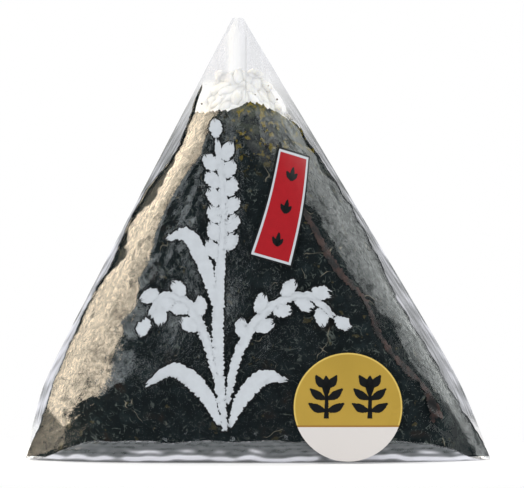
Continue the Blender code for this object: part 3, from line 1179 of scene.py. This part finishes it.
def ramp(tree, source, low, high, to_low=0.0, to_high=1.0):
    """A smooth step of the source from to_low to to_high."""
    limits = {"From_Min": low, "From_Max": high, "To_Min": to_low, "To_Max": to_high}
    made = add_node(tree, "ShaderNodeMapRange", interpolation_type="SMOOTHSTEP", Value=source, **limits)
    return made.outputs["Result"]


def noise(tree, vector, scale, detail, roughness=0.55, distortion=0.0):
    """A smooth random pattern around a half, with this many details to a metre."""
    values = {"Scale": scale, "Detail": detail, "Roughness": roughness, "Distortion": distortion}
    return add_node(tree, "ShaderNodeTexNoise", Vector=vector, **values).outputs["Fac"]


def object_place(tree):
    """The place on the piece, in metres."""
    return add_node(tree, "ShaderNodeTexCoord").outputs["Object"]


def separate(tree, vector):
    """The vector's three numbers."""
    return add_node(tree, "ShaderNodeSeparateXYZ", Vector=vector).outputs


def mark(tree, name):
    """A number that the piece keeps for each of its points."""
    return add_node(tree, "ShaderNodeAttribute", attribute_name=name).outputs["Fac"]


def new_group(name, inputs, output, kind):
    """A new shader node group with a vector, named numbers and one output: it, its inputs and its exit."""
    group = bpy.data.node_groups.new(name, "ShaderNodeTree")
    group.interface.new_socket("Vector", in_out="INPUT", socket_type="NodeSocketVector")
    for socket in inputs:
        group.interface.new_socket(socket, in_out="INPUT", socket_type="NodeSocketFloat")
    group.interface.new_socket(output, in_out="OUTPUT", socket_type=kind)
    entry = group.nodes.new("NodeGroupInput")
    leave = group.nodes.new("NodeGroupOutput")
    return group, [entry.outputs[socket] for socket in ("Vector", *inputs)], leave


def mottle_group():
    """Uneven patches: a mask from 0 to 1, with its own size, detail and sharpness."""
    names = ("Scale", "Detail", "Low", "High")
    group, inputs, leave = new_group("mottle", names, "Mask", "NodeSocketFloat")
    vector, scale, detail, low, high = inputs
    patches = noise(group, vector, scale, detail, 0.6)
    feed(group, ramp(group, patches, low, high), leave.inputs["Mask"])
    return group


def curly_group():
    """Thin curved lines, in places: a mask where a bent unevenness crosses its middle."""
    names = ("Scale", "Width", "Low", "High")
    group, inputs, leave = new_group("curly_lines", names, "Mask", "NodeSocketFloat")
    vector, scale, width, low, high = inputs
    waves = noise(group, vector, scale, 1.5, 0.5, 0.7)
    away = math_node(group, "ABSOLUTE", math_node(group, "SUBTRACT", waves, 0.5))
    line = ramp(group, away, product(group, width, 0.3), width, 1.0, 0.0)
    places = mottle(group, vector, product(group, scale, 1.3), 2.0, low, high)
    feed(group, product(group, line, places), leave.inputs["Mask"])
    return group


def relief_group():
    """A fine uneven relief: a normal, with its own grain size and height."""
    names = ("Scale", "Detail", "Height")
    group, inputs, leave = new_group("relief", names, "Normal", "NodeSocketVector")
    vector, scale, detail, height = inputs
    grain = noise(group, vector, scale, detail, 0.6)
    bumps = add_node(group, "ShaderNodeBump", Height=grain, Distance=height)
    feed(group, bumps.outputs["Normal"], leave.inputs["Normal"])
    return group


def place_group(tree, name, builder, values):
    """One of the shared effects in this material, with its own values."""
    group = bpy.data.node_groups.get(name) or builder()
    made = add_node(tree, "ShaderNodeGroup", node_tree=group)
    for key, value in values.items():
        feed(tree, value, made.inputs[key])
    return made.outputs[0]


def mottle(tree, vector, scale, detail=3.0, low=0.3, high=0.7):
    """Uneven patches in this material."""
    values = {"Vector": vector, "Scale": scale, "Detail": detail, "Low": low, "High": high}
    return place_group(tree, "mottle", mottle_group, values)


def curly_lines(tree, vector, scale, width, low, high):
    """Thin curved lines in this material."""
    values = {"Vector": vector, "Scale": scale, "Width": width, "Low": low, "High": high}
    return place_group(tree, "curly_lines", curly_group, values)


def relief(tree, vector, scale, height, detail=2.0):
    """A fine uneven relief in this material."""
    values = {"Vector": vector, "Scale": scale, "Detail": detail, "Height": height}
    return place_group(tree, "relief", relief_group, values)


MIRROR_FLAT = 0.085  # how much the clear film mirrors face on
MIRROR_EDGE = 0.75  # how much of the glancing mirror is added
LAYER_COVER = 0.62  # how much the layers hide where they look dark
LIGHT_COVER = 0.86  # and where they look light
FILM_GREY = (0.045, 0.060, 0.057)
FILM_PALE = (0.84, 0.845, 0.905)
FILM_CLEAR = (0.97, 0.98, 1.0)
FILM_WAVES = 0.16  # how high the film's fine waves are


def film_mirror(tree, place, normal, loose):
    """How much the clear film mirrors: more at a glance, and unevenly, as it is crumpled and crazed."""
    glance = add_node(tree, "ShaderNodeFresnel", IOR=1.5, Normal=normal).outputs["Fac"]
    mirror = math_node(tree, "ADD", product(tree, glance, MIRROR_EDGE), MIRROR_FLAT)
    broad = ramp(tree, mottle(tree, place, 430.0, 3.0), 0.0, 1.0, 0.8, 1.08)
    fine = ramp(tree, mottle(tree, place, 1300.0, 5.0, 0.25, 0.75), 0.0, 1.0, 0.58, 1.26)
    patches = ramp(tree, mottle(tree, place, 210.0, 5.0, 0.33, 0.42), 0.0, 1.0, 0.46, 1.03)
    veins = ramp(tree, curly_lines(tree, place, 170.0, 0.016, 0.48, 0.56), 0.0, 1.0, 1.0, 0.55)
    where_loose = ramp(tree, loose, 0.05, 0.35, 0.15, 1.0)
    # the shine mark carries painted shade: it turns the mirror down in places
    return product(tree, mirror, broad, fine, patches, veins, where_loose, mark(tree, "shine"))


def film_material():
    """Clear film: a thin mirror over what lies behind, milky and streaked where layers lie together."""
    material, tree, shader = new_material("clear_film", IOR=1.5)
    place = object_place(tree)
    loose = mark(tree, "loose")
    layers = mark(tree, "layers")
    lightness = mark(tree, "lightness")
    height = product(tree, noise(tree, place, 620.0, 5.0, 0.62), loose)
    normal = add_node(tree, "ShaderNodeBump", Distance=FILM_WAVES * MM, Height=height).outputs["Normal"]
    milky = math_node(tree, "MULTIPLY", layers, 4.0, clamp=True)
    layer_colour = mix_colours(tree, lightness, FILM_GREY, FILM_PALE)
    dress_shader(
        tree, shader, Normal=normal,
        Base_Color=mix_colours(tree, milky, FILM_CLEAR, layer_colour),
        Metallic=ramp(tree, milky, 0.0, 1.0, 0.98, 0.0),
        Roughness=ramp(tree, milky, 0.0, 1.0, 0.04, 0.30),
    )
    bare = math_node(tree, "SUBTRACT", 1.0, layers)
    mirror = product(tree, film_mirror(tree, place, normal, loose), bare)
    milk = product(tree, layers, ramp(tree, lightness, 0.3, 1.0, LAYER_COVER, LIGHT_COVER))
    cover = math_node(tree, "ADD", mirror, milk, clamp=True)
    rays = add_node(tree, "ShaderNodeLightPath")
    unseen = math_node(tree, "SUBTRACT", 1.0, rays.outputs["Is Glossy Ray"])
    blend = add_node(tree, "ShaderNodeMixShader", Fac=product(tree, cover, unseen))
    tree.links.new(add_node(tree, "ShaderNodeBsdfTransparent").outputs["BSDF"], blend.inputs[1])
    tree.links.new(shader.outputs["BSDF"], blend.inputs[2])
    tree.links.new(blend.outputs["Shader"], tree.nodes["Material Output"].inputs["Surface"])
    return material


SEAWEED_DARK = (0.0035, 0.0078, 0.0095)
SEAWEED_BLUE = (0.0095, 0.0175, 0.020)
SEAWEED_BROWN = (0.016, 0.011, 0.009)
SEAWEED_OLIVE = (0.050, 0.044, 0.020)
SEAWEED_FIBRE = (0.105, 0.125, 0.112)
SEAWEED_STRAY = (0.26, 0.24, 0.18)  # the few longer, paler fibres
SEAWEED_THIN_LIT_THROUGH = (0.19, 0.145, 0.014)  # painted light coming through the thin seaweed, along the torn edge
SEAWEED_PALE = (0.060, 0.070, 0.052)


def seaweed_material():
    """Roasted seaweed: blue-black, with fine fibres, brown and olive patches, and thin spots at the top in
    painted light that comes through them.
    """
    material, tree, shader = new_material("seaweed", Roughness=0.7, Specular_IOR_Level=0.12)
    place = object_place(tree)
    ground = mix_colours(tree, mottle(tree, place, 300.0, 5.0, 0.42, 0.70), SEAWEED_DARK, SEAWEED_BLUE)
    ground = mix_colours(tree, mottle(tree, place, 150.0, 4.0, 0.56, 0.72), ground, SEAWEED_BROWN)
    ground = mix_colours(tree, mottle(tree, place, 340.0, 3.0, 0.64, 0.69), ground, SEAWEED_OLIVE)
    coarse = curly_lines(tree, place, 250.0, 0.013, 0.48, 0.62)
    fine = curly_lines(tree, place, 620.0, 0.028, 0.46, 0.62)
    fibre = product(tree, math_node(tree, "ADD", coarse, fine, clamp=True), 0.6)
    specks = product(tree, mottle(tree, place, 2200.0, 1.0, 0.72, 0.78), 0.8)
    ground = mix_colours(tree, fibre, ground, SEAWEED_FIBRE)
    stray = product(tree, curly_lines(tree, place, 130.0, 0.006, 0.56, 0.62), 0.8)
    ground = mix_colours(tree, stray, ground, SEAWEED_STRAY)
    ground = mix_colours(tree, specks, ground, SEAWEED_FIBRE)
    across, _, up = separate(tree, place)
    right_side = ramp(tree, across, -0.008, -0.003)
    top = product(tree, ramp(tree, up, 0.057, 0.066), right_side)
    pale = product(tree, top, mottle(tree, place, 330.0, 4.0, 0.46, 0.62))
    # painted light: the torn fringe and the thin spots take the colour of light coming through thin seaweed
    fringe = product(tree, mark(tree, "torn"), mottle(tree, place, 520.0, 3.0, 0.47, 0.60), right_side)
    spots = product(tree, top, mottle(tree, place, 620.0, 3.0, 0.54, 0.62))
    ground = mix_colours(tree, pale, ground, SEAWEED_PALE)
    ground = mix_colours(tree, math_node(tree, "MAXIMUM", fringe, spots), ground, SEAWEED_THIN_LIT_THROUGH)
    dress_shader(tree, shader, Base_Color=ground, Normal=relief(tree, place, 700.0, 0.0003, 5.0))
    return material


RICE_SHADE = (0.84, 0.825, 0.775)
RICE_LIGHT = (0.92, 0.91, 0.87)


def rice_material():
    """Cooked rice: creamy white, moist and slightly see-through."""
    material, tree, shader = new_material("cooked_rice", Roughness=0.4)
    place = object_place(tree)
    dress_shader(
        tree, shader,
        Subsurface_Weight=0.35,
        Subsurface_Radius=(1.0, 0.85, 0.6),
        Subsurface_Scale=0.002,
        Base_Color=mix_colours(tree, mottle(tree, place, 260.0), RICE_SHADE, RICE_LIGHT),
        Normal=relief(tree, place, 1400.0, 0.00008),
    )
    return material


def ink_material(name, colour, roughness, shine=0.25):
    """Opaque ink printed on film, with faint mottling."""
    material, tree, shader = new_material(name, Roughness=roughness, Specular_IOR_Level=shine)
    place = object_place(tree)
    darker = tuple(0.93 * part for part in colour)
    mottled = mix_colours(tree, mottle(tree, place, 700.0), darker, colour)
    dress_shader(tree, shader, Base_Color=mottled, Normal=relief(tree, place, 700.0, 0.00002, 3.0))
    return material


def patchy_material(name, roughness, scale, low, high, first, second):
    """A dull material of two colours in patches."""
    material, tree, shader = new_material(name, Roughness=roughness)
    patches = mottle(tree, object_place(tree), scale, 4.0, low, high)
    dress_shader(tree, shader, Base_Color=mix_colours(tree, patches, first, second))
    return material


LABEL_GOLD_DARK = (0.365, 0.235, 0.018)
LABEL_GOLD = (0.415, 0.265, 0.024)
LABEL_RIM_HIGHLIGHT = (0.60, 0.43, 0.09)
LABEL_WHITE = (0.615, 0.585, 0.565)
LABEL_BROWN = (0.30, 0.15, 0.012)


def label_material():
    """The label's paper: gold over an off-white foot, a brown line between them, and a painted highlight
    round its rim.
    """
    material, tree, shader = new_material("label_paper", Roughness=0.42)
    low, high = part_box("flavour_label")
    place = object_place(tree)
    x, _, z = separate(tree, place)
    across = math_node(tree, "SUBTRACT", x, 0.5 * (low.x + high.x))
    up = math_node(tree, "SUBTRACT", z, 0.5 * (low.z + high.z))
    squares = math_node(tree, "ADD", product(tree, across, across), product(tree, up, up))
    # painted highlight: a lighter gold band all round the label's rim
    rim = ramp(tree, math_node(tree, "SQRT", squares), LABEL_RIM * MM, (LABEL_RIM + 0.12) * MM)
    gold = mix_colours(tree, mottle(tree, place, 60.0, 2.0), LABEL_GOLD_DARK, LABEL_GOLD)
    gold = mix_colours(tree, rim, gold, LABEL_RIM_HIGHLIGHT)
    above = ramp(tree, up, (LABEL_SPLIT - 0.03) * MM, (LABEL_SPLIT + 0.03) * MM)
    colour = mix_colours(tree, above, LABEL_WHITE, gold)
    line_low = ramp(tree, up, (LABEL_SPLIT - 0.05) * MM, LABEL_SPLIT * MM)
    line_end = LABEL_SPLIT + LABEL_LINE_TOP
    line_high = ramp(tree, up, (line_end - 0.1) * MM, line_end * MM, 1.0, 0.0)
    colour = mix_colours(tree, product(tree, line_low, line_high), colour, LABEL_BROWN)
    dress_shader(tree, shader, Base_Color=colour, Normal=relief(tree, place, 3500.0, 0.00001))
    return material


# ---------------------------------------------------------------- studio


def compass(tree):
    """Where a ray heads, in degrees: round from the pack's front, to the right, and above the level."""
    x, y, z = separate(tree, add_node(tree, "ShaderNodeTexCoord").outputs["Generated"])
    turn = math_node(tree, "ARCTAN2", x, product(tree, y, -1.0))
    climb = math_node(tree, "ARCSINE", z)
    return [product(tree, angle, math.degrees(1.0)) for angle in (turn, climb)]


def panel(tree, turn, climb, turns, climbs, soft):
    """The mask of one light panel, between two turns and two climbs, with edges this soft."""
    edges = []
    for place, (start, end) in ((turn, turns), (climb, climbs)):
        edges.append(ramp(tree, place, start - soft, start + soft))
        edges.append(ramp(tree, place, end - soft, end + soft, 1.0, 0.0))
    return product(tree, *edges)


# The light panels that the film mirrors: colour, strength, range of turns, range of climbs, softness
PANELS = [
    ((1.0, 0.84, 0.63), 5.3, (-176.0, -56.0), (-8.0, 50.0), 0.8),
    ((0.96, 1.0, 0.97), 1.65, (68.0, 174.0), (-8.0, 50.0), 0.8),
    ((0.90, 0.98, 1.0), 1.3, (-54.0, -4.5), (0.0, 50.0), 2.5),
    ((0.95, 1.0, 1.0), 0.5, (9.0, 62.0), (24.0, 50.0), 2.5),
    ((1.0, 1.0, 1.0), 1.2, (-60.0, 60.0), (52.0, 86.0), 2.0),
]
PANEL_FADE = 0.6  # how much of a panel's light is left at its far and upper ends
DARK_ROOM = (0.022, 0.034, 0.040)
SOFT_LIGHT_SIDE = 1.05
SOFT_LIGHT_ABOVE = 1.42
WHITE = (1.0, 1.0, 1.0)


def mirrored_light(tree, turn, climb):
    """The light panels in a dark room, less bright towards their far and upper ends."""
    light = DARK_ROOM
    behind = ramp(tree, math_node(tree, "ABSOLUTE", turn), 100.0, 155.0)
    away = math_node(tree, "MAXIMUM", behind, ramp(tree, climb, 4.0, 34.0))
    for colour, strength, turns, climbs, soft in PANELS:
        near = tuple(strength * part for part in colour)
        far = tuple(PANEL_FADE * strength * part for part in colour)
        glow = mix_colours(tree, away, near, far)
        light = mix_colours(tree, panel(tree, turn, climb, turns, climbs, soft), light, glow)
    return light


def make_world():
    """A white surround for the camera, light panels for what is glossy, and soft light for the rest."""
    world = bpy.data.worlds.new("studio")
    bpy.context.scene.world = world
    world.use_nodes = True
    tree = world.node_tree
    turn, climb = compass(tree)
    aside, above = (SOFT_LIGHT_SIDE,) * 3, (SOFT_LIGHT_ABOVE,) * 3
    soft_light = mix_colours(tree, ramp(tree, climb, -10.0, 60.0), aside, above)
    rays = add_node(tree, "ShaderNodeLightPath").outputs
    light = mix_colours(tree, rays["Is Glossy Ray"], soft_light, mirrored_light(tree, turn, climb))
    light = mix_colours(tree, rays["Is Camera Ray"], light, WHITE)
    dress_shader(tree, tree.nodes["Background"], Color=light, Strength=1.0)


FLOOR_RADIUS = 0.3  # in metres, as is the fade
FLOOR_FADE = (0.05, 0.11)  # how far out it starts to fade, and where it ends
FLOOR_SINK = 0.1  # how far it lies under the pack's foot
FLOOR_GREYS = ((0.84, 0.84, 0.84), (0.87, 0.87, 0.87))


def make_floor():
    """A wide white table that fades out into the surround."""
    deselect_all()
    bpy.ops.mesh.primitive_circle_add(vertices=96, radius=FLOOR_RADIUS, fill_type="NGON")
    floor = bpy.context.object
    floor.location.z = -FLOOR_SINK * MM
    floor.name = "table"
    material, tree, shader = new_material("table", Roughness=0.6, Emission_Strength=0.3)
    place = object_place(tree)
    distance = add_node(tree, "ShaderNodeVectorMath", operation="LENGTH", Vector=place).outputs["Value"]
    dress_shader(
        tree, shader,
        Base_Color=mix_colours(tree, noise(tree, place, 12.0, 2.0), *FLOOR_GREYS),
        Emission_Color=WHITE,
        Alpha=ramp(tree, distance, *FLOOR_FADE, 1.0, 0.0),
    )
    floor.data.materials.append(material)
    floor.visible_glossy = False


def make_camera():
    """A level camera with a long lens, straight in front of the pack."""
    deselect_all()
    across, up = CAMERA_AIM
    level = (math.radians(90.0), 0.0, 0.0)
    bpy.ops.object.camera_add(location=(across, -CAMERA_DISTANCE, up), rotation=level)
    camera = bpy.context.object
    camera.data.lens = camera.data.sensor_width * CAMERA_DISTANCE / VIEW_WIDTH
    camera.data.clip_start = 0.01
    bpy.context.scene.camera = camera


# ---------------------------------------------------------------- the whole


def dress(piece, material, replaces=None):
    """Gives a piece its material and its place in the frame."""
    piece.data.materials.clear()
    piece.data.materials.append(material)
    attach(piece, "root")
    if replaces:
        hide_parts(replaces)


CRUMB_COLOURS = ((0.05, 0.03, 0.015), (0.16, 0.09, 0.04))
INNER_FILM_COLOURS = ((0.012, 0.012, 0.013), (0.055, 0.026, 0.021))


def main():
    """Makes the pieces, gives them their materials and places, and sets up the studio."""
    white_ink = ink_material("white_ink", (0.50, 0.535, 0.57), 0.45, 0.12)
    black_ink = ink_material("black_ink", (0.006, 0.007, 0.008), 0.45)
    red_ink = ink_material("red_ink", (0.34, 0.006, 0.012), 0.45, 0.15)
    rice = rice_material()
    crumb = patchy_material("crumbs", 0.7, 2500.0, 0.3, 0.7, *CRUMB_COLOURS)
    inner_film = patchy_material("inner_film_edge", 0.5, 480.0, 0.4, 0.62, *INNER_FILM_COLOURS)

    in_and_on_the_pack = [
        (make_film(), film_material()),
        (make_seaweed(), seaweed_material()),
        (make_rice_core(), rice),
        (make_rice_grains(), rice),
        (make_crumbs(), crumb),
        (make_inner_film_edge(), inner_film),
        (make_painting("painting_outline", OUTLINE_GROW, OUTLINE_STAND_OFF), black_ink),
        (make_painting("painting_white", 0.0, PAINTING_STAND_OFF), white_ink),
    ]
    for (name, grow, stand_off), ink in zip(BANNER_LAYERS, (black_ink, white_ink, red_ink)):
        in_and_on_the_pack.append((print_on_film(name, [banner_sheet(grow)], stand_off), ink))
    marks = print_on_film("banner_marks", banner_marks(), BANNER_MARKS_STAND_OFF)
    in_and_on_the_pack.append((marks, black_ink))
    for piece, material in in_and_on_the_pack:
        dress(piece, material, "film_wrapper")
    dress(make_label_leaves(), black_ink)

    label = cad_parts["flavour_label"]
    label.data.materials.clear()
    label.data.materials.append(label_material())

    make_world()
    make_floor()
    make_camera()
    bpy.context.scene.view_settings.view_transform = "Standard"


main()
